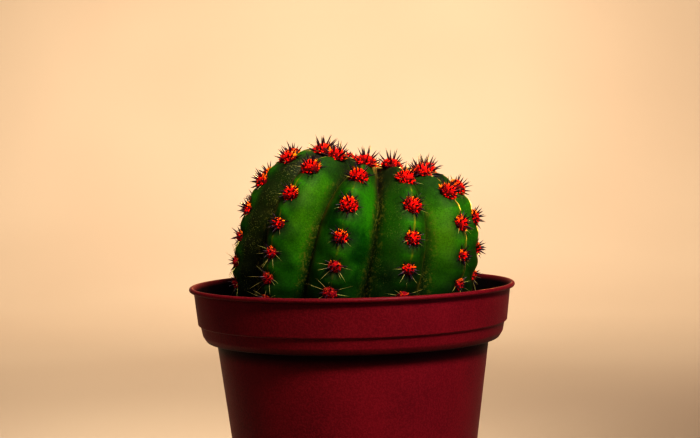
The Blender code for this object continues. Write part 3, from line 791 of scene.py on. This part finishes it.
# ---- Stem ----------------------------------------------------------------------------------
def skin_values(rib, across, way, points):
    """Numbers for the skin's material on its rows of points, then on its top and its foot."""
    count = areole_count(way)[:, None] - rib_shift(rib)[None, :]
    # Painted shade: dark patches just below each areole, and over the crown.
    nearest = (count - np.round(count)) * AREOLE_PITCH * 0.85 - AREOLE_SHADOW_SINK
    width = np.abs(across)[None, :] * AREOLE_SHADOW_RIB_WIDTH
    reach = AREOLE_SHADOW_REACH - AREOLE_SHADOW_REACH_LOSS * smooth_step(14.0, 40.0, way)[:, None]
    painted_shade = np.exp(-((np.hypot(nearest, width) / reach) ** 2))
    painted_shade = painted_shade * smooth_step(6.0, 12.0, way)[:, None]
    painted_shade = np.maximum(painted_shade, CROWN_SHADE * (1.0 - smooth_step(14.0, 32.0, way))[:, None])
    # Darker flanks, partly dust and partly painted shade, above 0; flanks with painted light below
    # 0.
    side = (smooth_step(0.1, 0.45, -across) * np.array(LEFT_FLANKS)[rib]
            + smooth_step(0.1, 0.45, across) * np.array(RIGHT_FLANKS)[rib])
    side = side * smooth_step(8.0, 16.0, way)[:, None]
    # Painted light is strongest in a belt round the stem's middle.
    belt = np.exp(-(((way - LIT_BELT) / LIT_BELT_WIDTH) ** 2))
    values = {
        "across": (np.abs(across), 0.0, 1.0),
        "painted_shade": (painted_shade, 0.0, 0.0),
        # Darker olive flanks, partly dust and partly painted shade.
        "dust_and_shade": (np.maximum(side, 0.0), 0.0, 0.0),
        # Painted light on lit flanks.
        "painted_light": (np.maximum(-side, 0.0) * belt[:, None], 0.0, 0.0),
        # Painted shade, fading out upward from the soil.
        "low": (1.0 - smooth_step(SOIL_TOP + 1.0, SOIL_TOP + 28.0, points[..., 2]), 0.0, 1.0),
    }
    shape = points.shape[:2]
    return {key: np.append(np.broadcast_to(skin, shape).ravel(), [top, foot])
            for key, (skin, top, foot) in values.items()}


def build_stem(material):
    """The ribbed globe down into the soil."""
    half = COLUMNS_PER_RIB // 2
    step = np.arange(half) / half
    spread = 1.0 - (1.0 - step) ** 1.25
    across_row = np.concatenate([[-1.0], -spread[1:][::-1], spread])
    across = np.tile(across_row, RIBS)
    rib = np.repeat(np.arange(RIBS), len(across_row))
    top = np.array([0.6, 1.3, 2.1, 3.0])
    way = np.concatenate([top, np.linspace(4.0, STEM_LAST_WAY, STEM_ROWS)])
    points = stem_points(rib[None, :], across[None, :], way[:, None])
    rows, columns = points.shape[:2]
    flat = points.reshape(-1, 3)
    ring = np.arange(columns)
    faces = [ring_faces(rows, columns), fan_faces(len(flat), ring),
             fan_faces(len(flat) + 1, (rows - 1) * columns + ring, True)]
    crown = lean(np.array([[0.0, 0.0, STEM_TOP_HEIGHT - CROWN_DIP]]))
    foot = points[-1].mean(axis=0, keepdims=True)
    flat = np.concatenate([flat, crown, foot])
    values = skin_values(rib, across, way, points)
    stem = write_mesh("ribbed_stem", flat, faces, material, values)
    return show(stem, "green_skin", "cactus_stem")


# ---- Wool and spines -----------------------------------------------------------------------
def dome(radius, rise, rng, rings=8, sides=20):
    """A lumpy cushion standing on z = 0, as points and faces."""
    points = []
    for ring in range(rings):
        t = ring / rings
        angle = 0.5 * math.pi * t
        spread = radius * math.cos(angle) ** 0.8
        height = rise * math.sin(angle)
        for side in range(sides):
            turn = FULL_TURN * (side + 0.5 * (ring % 2)) / sides
            points.append((spread * math.cos(turn), spread * math.sin(turn), height))
    points.append((0.0, 0.0, rise))
    points = np.array(points)
    lumps = wave_field(points, 1.3, int(rng.integers(1 << 30)), 14)
    middle = np.array([0.0, 0.0, 0.25 * rise])
    out = unit(points - middle)
    points = points + out * (0.11 * radius * lumps)[:, None]
    ring = np.arange(sides)
    cap = fan_faces(rings * sides, (rings - 1) * sides + ring)
    return points, [ring_faces(rings, sides)[:, ::-1], cap, ring[None, ::-1]]


def direction(tilt, azimuth):
    """Directions on a cushion from a tilt off its axis and a turn about it."""
    level = np.sin(tilt)
    return np.stack([level * np.cos(azimuth), level * np.sin(azimuth), np.cos(tilt)], axis=-1)


def fibre_bundle(count, radius, rise, rng, length, thickness):
    """Short fibres standing all over a cushion."""
    azimuth = rng.uniform(0.0, FULL_TURN, count)
    tilt = np.arccos(rng.uniform(0.02, 1.0, count))
    out = direction(tilt, azimuth)
    roots = out * np.array([radius, radius, rise]) * 0.86
    spread = unit(out + rng.normal(scale=0.42, size=(count, 3)) + np.array([0.0, 0.0, 0.12]))
    bends = rng.normal(scale=0.35, size=(count, 3))
    lengths = length * rng.uniform(0.55, 1.25, count)
    return roots, spread, lengths, thickness * rng.uniform(0.7, 1.3, count), bends


def to_place(points, placed):
    """Carry points from a cushion's own axes to the skin."""
    point, upward, aside, outward = placed
    turn = np.stack([upward, aside, outward], axis=0)
    return points @ turn + point


def spray(count, low_tilt, high_tilt, rng, wobble):
    """Directions spread over a cushion by the golden angle, from its middle outward."""
    azimuth = FULL_TURN * (np.arange(count) * GOLDEN_TURN + rng.uniform())
    azimuth = azimuth + rng.normal(scale=wobble, size=count)
    tilt = np.radians(np.linspace(low_tilt, high_tilt, count))
    tilt = tilt + rng.normal(scale=0.5 * wobble, size=count)
    return direction(tilt, azimuth)


def add_strands(batch, placed, roots, ways, lengths, thickness, bends, shape, **values):
    """Place strands on the skin and gather them. A value can be one number for each strand."""
    sides, rings, taper = shape
    points, faces, along, chunk = strands(
        roots, ways, lengths, thickness, bends, sides, rings, taper)
    points = to_place(points - np.array([0.0, 0.0, CUSHION_SINK]), placed)
    start = values.pop("start", 0.0)
    for key, value in values.items():
        values[key] = np.repeat(value, chunk) if np.ndim(value) else value
    batch.add(points, faces, along=start + (1.0 - start) * along, **values)


def grow_areole(wool, spines, placed, way, rng, size=1.0):
    """Wool cushion and spines of one areole, young near the crown and old near the soil."""
    low = float(smooth_step(22.0, 48.0, way))
    dry = float(smooth_step(41.0, 54.0, way))
    old = float(smooth_step(40.0, 54.0, way))
    young = 1.0 - float(smooth_step(14.0, 22.0, way))
    radius = (1.0 - low) * YOUNG_CUSHION_RADIUS + low * OLD_CUSHION_RADIUS
    radius = size * radius * rng.uniform(0.95, 1.05)
    rise = radius * (0.95 - 0.2 * low)
    reach = np.array([radius, radius, rise])
    points, faces = dome(radius, rise, rng)
    sunk = points - np.array([0.0, 0.0, CUSHION_SINK])
    wool.add(to_place(sunk, placed), faces,
             along=0.36 * points[:, 2] / rise, pick=rng.uniform(0.2, 0.8), old=old, upper=0.0)

    for count, length, thickness, taper in WOOL_BUNDLES:
        count = int(count * size * (1.0 - 0.35 * low))
        length = length * (1.0 - 0.2 * low)
        roots, ways, lengths, thick, bends = fibre_bundle(
            count, radius, rise, rng, length, thickness)
        # Fibres rooted on the cushion's top side get painted orange top light.
        add_strands(wool, placed, roots, ways, lengths, thick, bends * 0.5, (5, 3, taper),
                    pick=rng.uniform(size=count), start=0.25, old=old,
                    upper=smooth_step(0.08, 0.6, roots[:, 0] / radius))

    count = int(round((1.0 - dry) * DARK_SPINES_YOUNG * size + dry * DARK_SPINES_OLD))
    ways = spray(count, 14.0, 88.0, rng, 0.14)
    lengths = size * rng.uniform(1.6, 2.4, count) * (1.0 - 0.2 * low) * (1.0 + 0.3 * young)
    lengths = lengths + 0.55 * radius
    thick = DARK_SPINE_THICKNESS * rng.uniform(0.8, 1.15, count)
    bends = rng.normal(scale=0.05, size=(count, 3))
    add_strands(spines, placed, ways * reach * 0.5, ways, lengths, thick, bends, (7, 5, 1.25),
                pick=rng.uniform(size=count), pale=0.0)

    count = int(round((1.0 - dry) * PALE_SPINES_YOUNG + dry * PALE_SPINES_OLD))
    fan = np.linspace(-PALE_FAN, PALE_FAN, count) * (0.4 + 0.6 * dry)
    azimuth = math.pi + np.radians(fan + rng.normal(scale=8.0, size=count))
    tilt = np.radians(rng.uniform(62.0, 80.0, count))
    ways = direction(tilt, azimuth)
    lengths = size * ((1.0 - dry) * 2.2 + dry * 4.3) * rng.uniform(0.7, 1.15, count)
    lengths = lengths + 0.5 * radius
    thick = PALE_SPINE_THICKNESS * rng.uniform(0.85, 1.2, count)
    bends = rng.normal(scale=0.05, size=(count, 3))
    add_strands(spines, placed, ways * reach * 0.6, ways, lengths, thick, bends, (6, 6, 1.3),
                pick=rng.uniform(size=count), pale=1.0)


def build_areoles(wool_look, spine_look):
    """All areoles, one wool piece and one spine piece for each rib."""
    for rib in range(RIBS):
        rng = np.random.default_rng(SEED + 100 + rib)
        wool, spines = Batch(), Batch()
        shift = float(rib_shift(rib))
        for number in range(AREOLES_PER_RIB + LOW_AREOLES):
            way = float(areole_way(number + shift))
            point, upward, aside, outward = (v.reshape(3) for v in skin_frames(rib, way))
            if point[2] < LOWEST_AREOLE:
                continue
            grow_areole(wool, spines, (point, upward, aside, outward), way, rng)
        nodes = ["areole_r%02d_%d" % (rib + 1, k + 1) for k in range(AREOLES_PER_RIB)]
        show(wool.write("wool_rib_%02d" % (rib + 1), wool_look), "red_wool", *nodes)
        show(spines.write("spines_rib_%02d" % (rib + 1), spine_look), "red_wool", *nodes)


def build_crown(wool_look, spine_look):
    """Crowded young areoles in the sunken crown."""
    rng = np.random.default_rng(SEED + 300)
    wool, spines = Batch(), Batch()
    for rib in range(RIBS):
        if rib == SHIFTED_RIB:
            continue
        way = rng.uniform(5.6, 7.4)
        placed = tuple(v.reshape(3) for v in skin_frames(rib, way))
        grow_areole(wool, spines, placed, way, rng, CROWN_TUFT_SIZE)
    point = lean(np.array([0.0, 0.0, STEM_TOP_HEIGHT - CROWN_DIP]))
    upward, aside, outward = (LEAN @ np.eye(3)[k] for k in range(3))
    grow_areole(wool, spines, (point, upward, aside, outward), 5.0, rng, CROWN_CENTRE_SIZE)
    show(wool.write("crown_tuft", wool_look), "red_wool", "crown_wool")
    show(spines.write("crown_spines", spine_look), "red_wool", "crown_wool")


# ---- Soil ----------------------------------------------------------------------------------
def soil_height(x, y):
    """Height of the loose surface."""
    points = np.stack([x, y, np.zeros_like(x)], axis=-1)
    height = SOIL_TOP + 0.35 * wave_field(points, 26.0, SEED + 5)
    height = height + 0.35 * wave_field(points, 5.5, SEED + 6)
    return height + 0.22 * wave_field(points, 1.9, SEED + 7)


def stem_clearance(x, y):
    """Rough distance in plan from the stem's skin at soil level, negative inside."""
    rib = np.arange(RIBS).repeat(9)
    across = np.tile(np.linspace(-1.0, 1.0, 9), RIBS)
    way = np.linspace(48.0, STEM_LAST_WAY, 120)[:, None]
    skin = stem_points(rib[None, :], across[None, :], way).reshape(-1, 3)
    near = skin[np.abs(skin[:, 2] - SOIL_TOP) < 1.2]
    middle = near[:, :2].mean(axis=0)
    turn = np.arctan2(near[:, 1] - middle[1], near[:, 0] - middle[0])
    reach = np.hypot(near[:, 1] - middle[1], near[:, 0] - middle[0])
    edge = np.interp(np.arctan2(y - middle[1], x - middle[0]), turn, reach, period=FULL_TURN)
    return np.hypot(y - middle[1], x - middle[0]) - edge


def grain(rng):
    """A small angular stone of unit size."""
    mesh_data = bmesh.new()
    bmesh.ops.create_icosphere(mesh_data, subdivisions=1, radius=1.0)
    points = np.array([v.co for v in mesh_data.verts])
    faces = np.array([[v.index for v in f.verts] for f in mesh_data.faces])
    mesh_data.free()
    return points * rng.uniform(0.55, 1.25, (len(points), 1)), [faces]


def scatter(rng, count, low, high, keep_clear):
    """Grains strewn over the soil between the stem and the pot's wall."""
    radius = GRAIN_REACH * np.sqrt(rng.uniform(size=count))
    turn = rng.uniform(0.0, FULL_TURN, count)
    x, y = radius * np.cos(turn), radius * np.sin(turn)
    size = low + (high - low) * rng.uniform(size=count) ** 2.2
    clear = stem_clearance(x, y) > keep_clear
    level = soil_height(x, y)
    batch = Batch()
    for k in np.flatnonzero(clear):
        points, faces = grain(rng)
        spin = np.array(Euler(rng.uniform(0.0, FULL_TURN, 3)).to_matrix())
        stretch = np.array([1.0, rng.uniform(0.6, 1.0), rng.uniform(0.45, 0.8)])
        place = np.array([x[k], y[k], level[k] + 0.25 * size[k]])
        batch.add((points * stretch) @ spin.T * size[k] + place, faces, pick=rng.uniform())
    return batch


def build_soil(look, grit_look):
    """Uneven peat bed with scattered crumbs, grit and perlite."""
    radius = np.concatenate([[0.5], np.linspace(1.2, SOIL_RADIUS, SOIL_RINGS - 1)])
    angle = FULL_TURN * np.arange(SOIL_SIDES) / SOIL_SIDES
    x = radius[:, None] * np.sin(angle)
    y = -radius[:, None] * np.cos(angle)
    top = np.stack([x, y, soil_height(x, y)], axis=-1)
    rim = top[-1:, :, :2]
    edge = np.minimum(top[-1:, :, 2:] - 0.8, SOIL_TOP - 0.5)
    bottom = np.full((1, SOIL_SIDES, 1), SOIL_TOP - SOIL_DEPTH)
    skirt = np.concatenate([rim * (38.1 / SOIL_RADIUS), edge], axis=-1)
    under = np.concatenate([rim * (37.4 / SOIL_RADIUS), bottom], axis=-1)
    points = np.concatenate([top, skirt, under]).reshape(-1, 3)
    ring = np.arange(SOIL_SIDES)
    faces = [ring_faces(SOIL_RINGS + 2, SOIL_SIDES)[:, ::-1], fan_faces(len(points), ring, True),
             fan_faces(len(points) + 1, (SOIL_RINGS + 1) * SOIL_SIDES + ring)]
    middles = [[0.0, 0.0, SOIL_TOP], [0.0, 0.0, SOIL_TOP - SOIL_DEPTH]]
    points = np.concatenate([points, middles])
    values = {"pick": 0.5 + 0.5 * np.clip(wave_field(points, 3.1, SEED + 8), -1.0, 1.0)}
    show(write_mesh("peat_bed", points, faces, look, values), "peat", "soil")
    rng = np.random.default_rng(SEED + 400)
    crumbs = scatter(rng, 900, 0.25, 1.1, 0.3)
    show(crumbs.write("peat_crumbs", look, smooth=False), "peat", "soil")
    grit = scatter(rng, 420, 0.3, 1.25, 0.5)
    show(grit.write("grit_and_perlite", grit_look, smooth=False), "peat", "soil")


# ---- Stage and light -----------------------------------------------------------------------
STAGE_HALF_WIDTH = 3000.0
STAGE_FRONT = -1600.0
STAGE_TOP = 2400.0
SWEEP_START = 550.0
SWEEP_RADIUS = 500.0
SWEEP_STEPS = 12
WORLD_COLOUR = (0.92, 0.72, 0.80, 1.0)
WORLD_STRENGTH = 0.15
# Name, place, aim, size, power, colour and how wide the beam is in degrees.
LIGHTS = (
    ("key", (205.0, -355.0, 490.0), (2.0, 0.0, 88.0), 170.0, 0.21, (1.0, 0.95, 0.86), 28.0),
    ("fill", (-330.0, -400.0, 330.0), (0.0, 0.0, 80.0), 170.0, 0.014, (0.95, 0.85, 1.0), 26.0),
    ("side", (430.0, -260.0, 150.0), (20.0, -20.0, 66.0), 120.0, 0.010, (0.60, 0.22, 1.0), 20.0),
    ("rim_high", (50.0, 400.0, 270.0), (0.0, 6.0, 118.0), 60.0, 0.032, (1.0, 0.52, 0.12), 10.0),
    ("rim_right", (240.0, 450.0, 140.0), (28.0, 0.0, 106.0), 24.0, 0.022, (1.0, 0.46, 0.06), 6.5),
    ("wall_wash", (0.0, 500.0, 900.0), (0.0, 850.0, 100.0), 600.0, 4.7, (1.0, 0.91, 0.80), 112.0),
)


def stage_material():
    """Plain warm pale surface."""
    s = Shader("pale_stage")
    tone = s.noise(3.0, 2.0)
    base = s.mix(s.spread(tone, 0.3, 0.7), (0.50, 0.38, 0.26), (0.54, 0.42, 0.29))
    s.set(Base_Color=base, Roughness=0.85)
    return s.material


def build_stage():
    """A floor that sweeps up into a backdrop."""
    profile = [(STAGE_FRONT, 0.0), (SWEEP_START, 0.0)]
    for k in range(1, SWEEP_STEPS + 1):
        angle = 0.5 * math.pi * k / SWEEP_STEPS
        profile.append((SWEEP_START + SWEEP_RADIUS * math.sin(angle),
                        SWEEP_RADIUS - SWEEP_RADIUS * math.cos(angle)))
    profile.append((SWEEP_START + SWEEP_RADIUS, STAGE_TOP))
    points = [(side * STAGE_HALF_WIDTH, y, z) for y, z in profile for side in (-1, 1)]
    k = 2 * np.arange(len(profile) - 1)
    quads = np.stack([k, k + 1, k + 3, k + 2], axis=-1)
    floor = write_mesh("pale_floor", points, [quads], stage_material())


def area_light(name, place, aim, size, power, colour, spread):
    """A soft round light aimed at a point."""
    data = bpy.data.lights.new(name, "AREA")
    data.shape = "DISK"
    data.size = size * MM
    data.energy = power
    data.color = colour
    data.spread = math.radians(spread)
    obj = bpy.data.objects.new(name, data)
    obj.location = Vector(place) * MM
    obj.visible_camera = False
    obj.rotation_mode = "QUATERNION"
    obj.rotation_quaternion = (Vector(aim) - Vector(place)).to_track_quat("-Z", "Y")
    bpy.context.scene.collection.objects.link(obj)


def build_lights():
    """Soft studio light: a key from above, warm rims from behind and a lit backdrop."""
    for light in LIGHTS:
        area_light(*light)
    world = bpy.data.worlds.new("studio")
    world.use_nodes = True
    background = world.node_tree.nodes["Background"]
    background.inputs["Color"].default_value = WORLD_COLOUR
    background.inputs["Strength"].default_value = WORLD_STRENGTH
    bpy.context.scene.world = world


# ---- Camera --------------------------------------------------------------------------------
CAMERA_DISTANCE = 398.0
CAMERA_RISE = math.radians(4.82)
CAMERA_PITCH = math.radians(2.405)
CAMERA_ROLL = math.radians(-1.205)
CAMERA_ASIDE = -0.12
CAMERA_LENS = 78.0


def build_camera():
    """The camera, about 40 cm in front and a little above the pot's lip."""
    data = bpy.data.cameras.new("camera")
    data.sensor_width = 36.0
    data.lens = CAMERA_LENS
    data.clip_start = 0.01
    data.clip_end = 20.0
    obj = bpy.data.objects.new("camera", data)
    place = Vector((
        CAMERA_ASIDE, -CAMERA_DISTANCE * math.cos(CAMERA_RISE),
        POT_HEIGHT + CAMERA_DISTANCE * math.sin(CAMERA_RISE)))
    obj.location = place * MM
    turn = Euler((0.5 * math.pi - CAMERA_PITCH, 0.0, 0.0)).to_matrix()
    turn = turn @ Matrix.Rotation(CAMERA_ROLL, 3, "Z")
    obj.rotation_euler = turn.to_euler()
    bpy.context.scene.collection.objects.link(obj)
    bpy.context.scene.camera = obj


# ---- Assembly ------------------------------------------------------------------------------
def build():
    """Make every visible piece, the stage, the lights and the camera."""
    bpy.context.scene.view_settings.view_transform = "Standard"
    bpy.context.scene.view_settings.look = "High Contrast"
    plastic = plastic_material()
    skin = skin_material()
    wool = wool_material()
    spine = spine_material()
    build_pot(plastic)
    build_stem(skin)
    build_areoles(wool, spine)
    build_crown(wool, spine)
    build_soil(soil_material(), grit_material())
    build_stage()
    build_lights()
    build_camera()


build()
